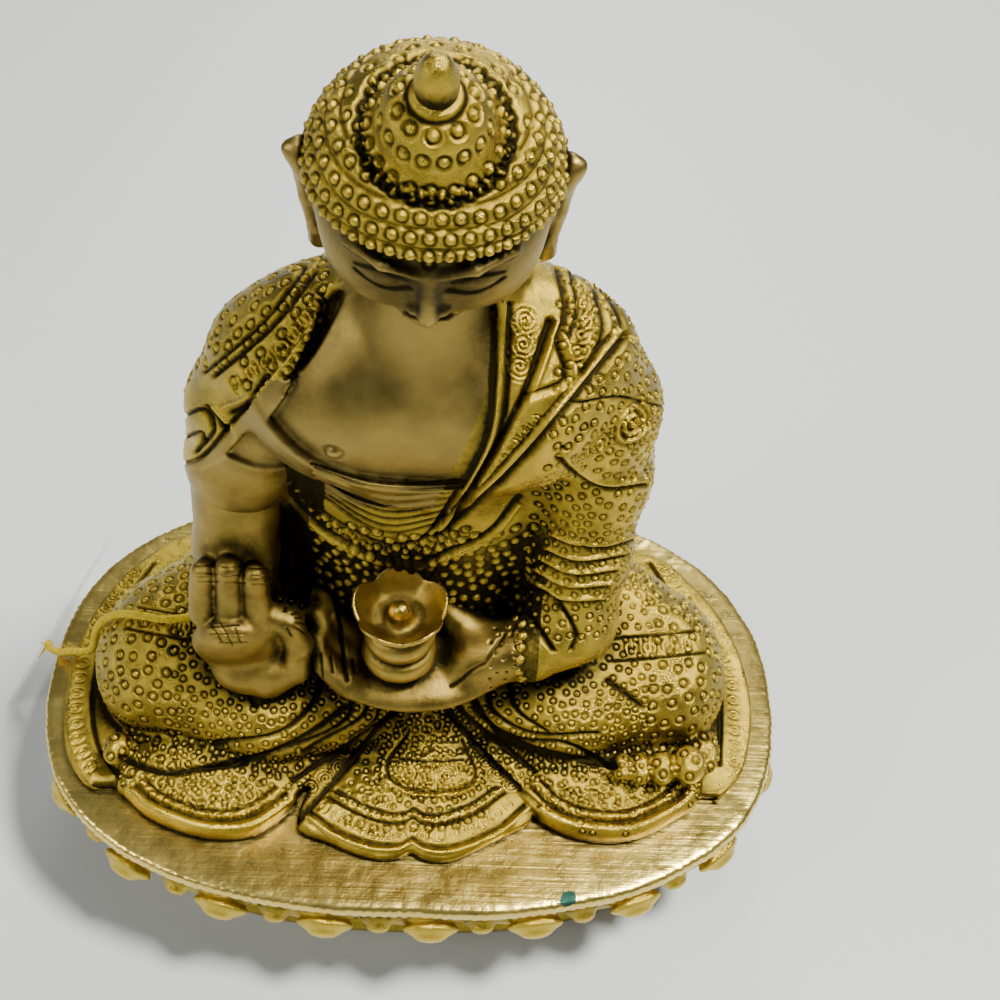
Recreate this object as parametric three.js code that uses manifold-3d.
// Seated brass Buddha on an oval lotus pedestal, in millimetres, +Z up.
// The origin is the centre of the pedestal's underside. The figure faces -Y.
// The pedestal is hollow, the figure's castings are solid, and spigots, pegs and one stud with its
// washer and nut join them.
import * as THREE from "three";
import { mergeVertices } from "three/addons/utils/BufferGeometryUtils.js";
import Module from "manifold-3d";

const wasm = await Module();
wasm.setup();

// Driving dimensions.
const GAP = 0.3; // clearance between neighbouring castings
const HALF_LENGTH = 57.5; // deck, along X
const HALF_DEPTH = 38.7; // deck, along Y
const OVAL_POWER = 2.45; // 2 is an ellipse, more is squarer
const DECK_TOP = 26.5;
const DECK_THICK = 3.2;
const FOOT_TOP = 12.6; // joint between the two lotus rings
const WALL = 2.4; // pedestal castings
const PETALS = 20;
const SEAT = 47; // joint between legs and torso
const HEAD_AT = new THREE.Vector3(0, -3.5, 125);
const HEAD_TILT = THREE.MathUtils.degToRad(25);
const STUD_RADIUS = 2.5;
const STUD_AT = new THREE.Vector2(0, 6);
const NUT_FLATS = 9;
const THREAD_DIAMETER = 1.2;

// Closed-body helpers: geometry to solid and back.
function solid(geometry) {
  const bare = geometry.index ? geometry.toNonIndexed() : geometry.clone();
  bare.deleteAttribute("normal");
  bare.deleteAttribute("uv");
  const merged = mergeVertices(bare, 1e-4);
  return new wasm.Manifold(
    new wasm.Mesh({
      numProp: 3,
      vertProperties: merged.attributes.position.array,
      triVerts: new Uint32Array(merged.index.array),
    }),
  );
}

function join(...solids) {
  return solids.reduce((all, one) => all.add(one));
}

function ellipsoid([x, y, z], [rx, ry, rz], grow = 0, turn = [0, 0, 0], around = 12, down = 8) {
  const ball = new THREE.SphereGeometry(1, around, down);
  ball.rotateX(Math.PI / 2);
  ball.scale(rx + grow, ry + grow, rz + grow);
  ball.applyMatrix4(new THREE.Matrix4().makeRotationFromEuler(new THREE.Euler(...turn, "ZYX")));
  ball.translate(x, y, z);
  return solid(ball);
}

// Round bar along +Z with its foot at z, or a cone where the two radii differ.
function post(x, y, z, height, radius, topRadius = radius, sides = 16) {
  const bar = new THREE.CylinderGeometry(topRadius, radius, height, sides);
  bar.rotateX(Math.PI / 2);
  bar.translate(x, y, z + height / 2);
  return solid(bar);
}

// Tapered limb through stations of [x, y, z, radius], rounded by a ball at each station.
function limb(stations, grow = 0, sides = 8) {
  const balls = stations.map(([x, y, z, r]) =>
    ellipsoid([x, y, z], [r, r, r], grow, [0, 0, 0], sides, Math.round(sides * 0.7)),
  );
  const bars = stations.slice(1).map(([x, y, z, r], i) => {
    const [x0, y0, z0, r0] = stations[i];
    const from = new THREE.Vector3(x0, y0, z0);
    const way = new THREE.Vector3(x, y, z).sub(from);
    const bar = new THREE.CylinderGeometry(r + grow, r0 + grow, way.length(), sides);
    bar.translate(0, way.length() / 2, 0);
    const up = new THREE.Vector3(0, 1, 0);
    bar.applyQuaternion(new THREE.Quaternion().setFromUnitVectors(up, way.normalize()));
    bar.translate(x0, y0, z0);
    return solid(bar);
  });
  return join(...balls, ...bars);
}

// Point at an angle on the squarish oval with these half-sizes.
function ovalPoint(angle, halfX, halfY) {
  const power = 2 / OVAL_POWER;
  const c = Math.cos(angle);
  const s = Math.sin(angle);
  const x = halfX * Math.sign(c) * Math.abs(c) ** power;
  const y = halfY * Math.sign(s) * Math.abs(s) ** power;
  return new THREE.Vector2(x, y);
}

// The same, on the oval that runs `inset` inside the deck's edge.
function deckPoint(angle, inset) {
  return ovalPoint(angle, HALF_LENGTH - inset, HALF_DEPTH - inset);
}

// A lathe around Z bent onto the oval: each profile point is [inset from the deck's edge, z].
function ovalTurning(profile, sides = 32) {
  const points = profile.map(([inset, z]) => new THREE.Vector2(HALF_DEPTH - inset, z));
  const lathe = new THREE.LatheGeometry([...points, points[0]], sides);
  const at = lathe.attributes.position;
  for (let i = 0; i < at.count; i++) {
    const angle = Math.atan2(at.getX(i), at.getZ(i));
    const inset = HALF_DEPTH - Math.hypot(at.getX(i), at.getZ(i));
    const p = deckPoint(angle, inset);
    at.setXYZ(i, p.x, p.y, at.getY(i));
  }
  return solid(lathe);
}

// Solid oval disc between two heights.
function ovalDisc(halfX, halfY, from, to, sides = 64) {
  const outline = [];
  for (let i = 0; i < sides; i++) {
    outline.push(ovalPoint((i / sides) * 2 * Math.PI, halfX, halfY));
  }
  const disc = new THREE.ExtrudeGeometry(new THREE.Shape(outline), {
    depth: to - from,
    bevelEnabled: false,
  });
  disc.translate(0, 0, from);
  return solid(disc);
}

// Pedestal: lower ring with foot, upper ring with bulb-tipped petals, deck plate, cover plate.
function petals(inset, z, radii, count, shift) {
  const row = [];
  for (let i = 0; i < count; i++) {
    const angle = ((i + shift) / count) * 2 * Math.PI;
    const p = deckPoint(angle, inset);
    row.push(ellipsoid([p.x, p.y, z], radii, 0, [0, 0, 0], 6, 4));
  }
  return join(...row);
}

const footRing = ovalTurning([
  [8, 0], [7.2, 1.2], [7.8, 3], [9.4, 4.2], [8.8, 7], [10, 11.2], [10.4, FOOT_TOP],
  [10.4 + WALL, FOOT_TOP], [10.2 + WALL, 8], [9 + WALL, 0],
]).add(petals(11, 6.2, [4.2, 4.2, 2.6], PETALS, 0.5));
const upperRing = ovalTurning([
  [10, FOOT_TOP + GAP], [8.4, 15], [4.4, 17.4], [1.9, 20], [2, 22.8], [WALL + 2, 22.8],
  [WALL + 4, 19], [8.4 + WALL, 17], [10 + WALL, FOOT_TOP + GAP],
]).add(petals(2.2, 20.3, [3.4, 3.4, 2.2], PETALS, 0));
const deckUnderside = DECK_TOP - DECK_THICK;
const deckPlate = ovalDisc(HALF_LENGTH, HALF_DEPTH, deckUnderside, DECK_TOP).subtract(
  post(STUD_AT.x, STUD_AT.y, deckUnderside - 1, DECK_THICK + 2, STUD_RADIUS + GAP),
);
const coverInset = 10 + WALL + 0.8;
const coverPlate = ovalDisc(HALF_LENGTH - coverInset, HALF_DEPTH - coverInset, 1, 2.2, 48);

// Crossed legs under the robe, standing on the deck.
const HEM_THICK = 1.8;
const HEM_HALF = [54, 30.5];
const LEGS_FLOOR = DECK_TOP + GAP;
function legs(grow) {
  const top = LEGS_FLOOR + HEM_THICK + grow;
  const hem = ovalDisc(HEM_HALF[0] + grow, HEM_HALF[1] + grow, LEGS_FLOOR, top, 48);
  const front = new THREE.BoxGeometry(2 * HALF_LENGTH, HALF_DEPTH, DECK_TOP);
  front.translate(0, -21 - HALF_DEPTH / 2 - grow, DECK_TOP);
  const floor = LEGS_FLOOR - 0.5;
  return join(
    hem.subtract(solid(front)),
    limb([[-11, 11, 36, 10.5], [-27, 6, 34.5, 11.2], [-36.5, 0.6, 33.6, 11]], grow, 14),
    limb([[11, 11, 36, 10.5], [27, 6, 34.5, 11.2], [36.2, 1.6, 33.6, 11]], grow, 14),
    limb([[-38.5, -4.6, 32.6, 9], [-9, -8.6, 31.6, 6.8]], grow, 10),
    limb([[38, -4.2, 32.6, 9], [12, -6.4, 31.8, 6.8]], grow, 10),
    ellipsoid([0, 9, 32], [25, 18, 15.5], grow, [0, 0, 0], 16, 10),
    ellipsoid([-29, -16.5, floor], [14, 11.5, 4.4], grow),
    ellipsoid([31, -15, floor], [14.5, 11, 4.4], grow),
    ellipsoid([0.5, -17.5, floor], [16.5, 12.5, 4], grow),
  );
}
function above(z) {
  return post(0, 0, z, 200, 120, 120, 8);
}
function below(z) {
  return post(0, 0, z - 200, 200, 120, 120, 8);
}
const spigot = post(0, 7, SEAT - 6, 7, 8.5);
const spigotHole = post(0, 7, SEAT - 6 - GAP, 10, 8.5 + GAP);
const studTop = DECK_TOP + 9;
const studHole = post(STUD_AT.x, STUD_AT.y, DECK_TOP - 5, studTop - DECK_TOP + 5 + GAP, STUD_RADIUS + GAP);
const legsCasting = legs(0)
  .intersect(above(LEGS_FLOOR))
  .intersect(below(SEAT))
  .subtract(spigotHole)
  .subtract(studHole);

// Torso: belly, chest, shoulders and a neck socket.
function torsoForm(grow) {
  return join(
    ellipsoid([0, 6, 68], [18, 10.5, 24], grow, [0, 0, 0], 18, 12),
    ellipsoid([0, 2.6, 91], [20.5, 12.6, 17], grow, [0, 0, 0], 18, 12),
    ellipsoid([-0.5, 2.5, 97], [24, 9.2, 9.2], grow, [0, -0.03, 0], 16, 10),
    post(0, 0.5, 98, 14, 9 + grow, 8 + grow),
  );
}
const neckSocket = post(0, 0, 104, 16, 5 + GAP);

// Arms: each station is [x, y, z, radius].
const RIGHT_UPPER = [[-19, 3, 94.5, 7.6], [-22.6, 2.8, 86, 7.6], [-24.6, 1.8, 76, 6.6]];
const RIGHT_FORE = [[-25.2, 0.8, 72.5, 5.2], [-25, -2.2, 62, 5], [-24.6, -6.4, 48, 4.6]];
const LEFT_ARM = [
  [18, 3, 96, 8], [21.6, 3, 87, 8], [22.8, 2.2, 76, 7.2], [22.6, 0, 62, 6.8],
  [22.4, -4.6, 51.6, 6], [16, -8.4, 49.6, 5.2],
];

function rightHandForm(grow) {
  return join(
    ellipsoid([-25, -9, 50.5], [6, 3.8, 8], grow, [0.2, 0, 0]),
    limb([[-28.4, -10, 58, 2], [-28.2, -9.4, 63.4, 1.8]], grow, 6),
    limb([[-24.9, -10, 58, 2], [-24.8, -9.2, 64.6, 1.8]], grow, 6),
    limb([[-21.4, -10, 58, 1.9], [-21.5, -9.4, 63.8, 1.7]], grow, 6),
    limb([
      [-21, -12, 46, 2.3], [-17.6, -13.6, 50, 1.9], [-17.4, -13, 55, 1.8], [-19.4, -11.4, 58, 1.7],
    ], grow, 6),
  );
}
function leftHandForm(grow) {
  return join(
    limb([[16, -8.4, 49.6, 4.2], [8, -10, 48.6, 3.9]], grow),
    ellipsoid([0, -9.4, 47.6], [11, 7.6, 2.8], grow, [0, 0, 0.1]),
    limb([[-8, -12, 48, 2], [-12.6, -8.6, 49.6, 1.9], [-13, -6, 51, 1.8]], grow, 6),
  );
}

// Head with hair, ushnisha and ears, made upright at the origin, then tilted forward and placed.
function headForm(grow) {
  const head = join(
    ellipsoid([0, 0.4, -1.6], [10.6, 11.4, 14.6], grow, [0, 0, 0], 16, 12),
    ellipsoid([0, 0.8, 2.6], [12.9, 13.4, 11.2], grow, [0, 0, 0], 18, 12).subtract(
      ellipsoid([0, -11, -8], [13, 11, 12]),
    ),
    ellipsoid([0, 0.4, 9], [7, 7, 6.6], grow),
    ellipsoid([-12.6, 1.5, -3.4], [1.7, 3, 8], grow, [0, 0.12, 0], 10, 8),
    ellipsoid([12.6, 1.5, -3.4], [1.7, 3, 8], grow, [0, -0.12, 0], 10, 8),
  );
  return head;
}
function placeHead(shape) {
  const degrees = THREE.MathUtils.radToDeg(HEAD_TILT);
  return shape.rotate([degrees, 0, 0]).translate([HEAD_AT.x, HEAD_AT.y, HEAD_AT.z]);
}
const finialPeg = post(0, 0.4, 12.6, 5, 1.4, 1.4, 12);
const finialPegHole = post(0, 0.4, 12.6 - GAP, 4, 1.4 + GAP, 1.4 + GAP, 12);
const jewel = join(
  finialPeg,
  ellipsoid([0, 0.4, 17.4], [2.4, 2.4, 3.4], 0, [0, 0, 0], 12, 8).intersect(above(15.6 + GAP)),
);
const neck = post(0, 0, 104 + GAP, 18, 5);
const headCasting = placeHead(headForm(0).subtract(finialPegHole)).add(neck.intersect(below(122)));
const finial = placeHead(jewel);

// Alms bowl standing in the left palm.
const BOWL_AT = new THREE.Vector3(-2.4, -11, 49.4);
const bowlProfile = [
  [0, 0], [3.2, 0], [4.8, 1.2], [5.1, 3], [4, 4.6], [4.7, 6], [4.5, 8], [4.2, 9],
  [6.1, 12.6], [5.4, 12.8], [3.8, 9.8], [2, 9.4], [1.9, 12], [0, 13],
].map(([r, z]) => new THREE.Vector2(r, z));
const bowlTurning = new THREE.LatheGeometry(bowlProfile, 20);
bowlTurning.rotateX(Math.PI / 2);
bowlTurning.translate(BOWL_AT.x, BOWL_AT.y, BOWL_AT.z);
const bowl = solid(bowlTurning);
const bowlRoom = post(BOWL_AT.x, BOWL_AT.y, BOWL_AT.z - GAP, 12, 5.4, 7);

// Pegs that carry the sleeves on the torso and the forearms in the sleeves.
function sidePeg(side, grow) {
  return limb([[side * 13, 3, 91, 2.2], [side * 21, 3, 91, 2.2]], grow, 6);
}

const torso = torsoForm(0)
  .intersect(above(SEAT + GAP))
  .add(spigot)
  .subtract(neckSocket)
  .subtract(placeHead(headForm(GAP)))
  .subtract(sidePeg(-1, GAP))
  .subtract(sidePeg(1, GAP));
const rightSleeve = limb(RIGHT_UPPER, 0, 10)
  .subtract(torsoForm(GAP))
  .add(sidePeg(-1, 0))
  .subtract(limb(RIGHT_FORE, GAP))
  .subtract(placeHead(headForm(GAP)));
const rightForearm = limb(RIGHT_FORE, 0)
  .add(rightHandForm(0))
  .subtract(legs(GAP))
  .subtract(torsoForm(GAP));
const leftSleeve = limb(LEFT_ARM, 0, 10)
  .subtract(torsoForm(GAP))
  .add(sidePeg(1, 0))
  .subtract(leftHandForm(GAP))
  .subtract(legs(GAP))
  .subtract(placeHead(headForm(GAP)));
const leftHand = leftHandForm(0)
  .subtract(legs(GAP))
  .subtract(bowlRoom)
  .subtract(torsoForm(GAP));

// Stud, washer and nut inside the pedestal.
const washerTop = deckUnderside - GAP;
const stud = post(STUD_AT.x, STUD_AT.y, 12, studTop - 12, STUD_RADIUS);
const washer = post(STUD_AT.x, STUD_AT.y, washerTop - 1.2, 1.2, 8).subtract(
  post(STUD_AT.x, STUD_AT.y, 10, 20, STUD_RADIUS + GAP),
);
const nutTop = washerTop - 1.2 - GAP;
const nut = post(STUD_AT.x, STUD_AT.y, nutTop - 4, 4, NUT_FLATS / Math.sqrt(3), NUT_FLATS / Math.sqrt(3), 6)
  .subtract(post(STUD_AT.x, STUD_AT.y, 10, 20, STUD_RADIUS + GAP));

// Cotton thread from behind the right hand, over the knee, the hem, the deck and its edge.
const THREAD_ROUTE = [
  [-31.5, -2, 45.5], [-34, -3, 45.3], [-37, -3.4, 45.2], [-40, -2.8, 44.9], [-42.7, -1.9, 44],
  [-45, -1.2, 42.5], [-46.8, -0.8, 40.6], [-48.2, -0.6, 38.4], [-49.2, -0.4, 35.8], [-49.8, -0.2, 33.2],
  [-50.7, 0, 31.1], [-52.2, 0.3, 29.8], [-54, 0.6, 29.4], [-55.4, 0.9, 28.6], [-56.6, 1.3, 27.9],
  [-57.9, 2, 27.5], [-58.8, 3, 27], [-59.2, 4, 26],
].map((p) => new THREE.Vector3(...p));
const threadPath = new THREE.CatmullRomCurve3(THREAD_ROUTE);
const threadSection = new THREE.Shape();
for (let i = 0; i < 8; i++) {
  const angle = (i / 8) * 2 * Math.PI;
  const x = (THREAD_DIAMETER / 2) * Math.cos(angle);
  const y = (THREAD_DIAMETER / 2) * Math.sin(angle);
  if (i === 0) threadSection.moveTo(x, y);
  else threadSection.lineTo(x, y);
}
const thread = new THREE.ExtrudeGeometry(threadSection, {
  steps: 20,
  extrudePath: threadPath,
  bevelEnabled: false,
});

// Blank clear tag, leaning on the deck's edge with its lower edge on the table.
const TAG_SIZE = [24, 30, 0.6];
const TAG_CORNER = new THREE.Vector3(-72, 8, 0.5);
const tagAlong = new THREE.Vector3(0.255, 0.967, 0).normalize();
const tagUp = new THREE.Vector3(13.3, -3.5, 26.8).normalize();
const tagOut = tagAlong.clone().cross(tagUp);
const tagGeometry = new THREE.BoxGeometry(...TAG_SIZE);
tagGeometry.translate(TAG_SIZE[0] / 2, TAG_SIZE[1] / 2, 0);
tagGeometry.applyMatrix4(new THREE.Matrix4().makeBasis(tagAlong, tagUp, tagOut));
tagGeometry.translate(TAG_CORNER.x, TAG_CORNER.y, TAG_CORNER.z);

// Materials.
function metal(color, roughness) {
  return new THREE.MeshStandardMaterial({ color, roughness, metalness: 1 });
}
const POLISHED = metal(0xc9a24d, 0.3);
const BRUSHED = metal(0xd8b661, 0.4);
const CHASED = metal(0xa8842f, 0.45);
const BROWNED = metal(0x8f6a38, 0.5);
const STEEL = metal(0x9a9a98, 0.45);
const COTTON = new THREE.MeshStandardMaterial({ color: 0xe0b81c, roughness: 0.95, metalness: 0 });
const CLEAR = new THREE.MeshStandardMaterial({ color: 0xe8eae8, roughness: 0.15, metalness: 0 });

const statue = new THREE.Group();

function addPiece(name, shape, material) {
  let geometry = shape;
  if (!shape.isBufferGeometry) {
    const data = shape.getMesh();
    geometry = new THREE.BufferGeometry();
    geometry.setAttribute("position", new THREE.BufferAttribute(data.vertProperties, 3));
    geometry.setIndex(new THREE.BufferAttribute(data.triVerts, 1));
    geometry.computeVertexNormals();
  }
  const mesh = new THREE.Mesh(geometry, material);
  mesh.name = name;
  statue.add(mesh);
}

addPiece("lower_lotus_ring", footRing, CHASED);
addPiece("upper_lotus_ring", upperRing, CHASED);
addPiece("deck_plate", deckPlate, BRUSHED);
addPiece("base_cover_plate", coverPlate, BRUSHED);
addPiece("fixing_stud", stud, BRUSHED);
addPiece("fixing_washer", washer, STEEL);
addPiece("fixing_nut", nut, STEEL);
addPiece("crossed_legs_robe", legsCasting, CHASED);
addPiece("torso", torso, POLISHED);
addPiece("right_sleeve", rightSleeve, CHASED);
addPiece("right_forearm_hand", rightForearm, BROWNED);
addPiece("left_sleeve", leftSleeve, CHASED);
addPiece("left_hand", leftHand, BROWNED);
addPiece("alms_bowl", bowl, POLISHED);
addPiece("head", headCasting, POLISHED);
addPiece("finial_jewel", finial, POLISHED);
addPiece("tie_thread", thread, COTTON);
addPiece("hang_tag", tagGeometry, CLEAR);

export default statue;
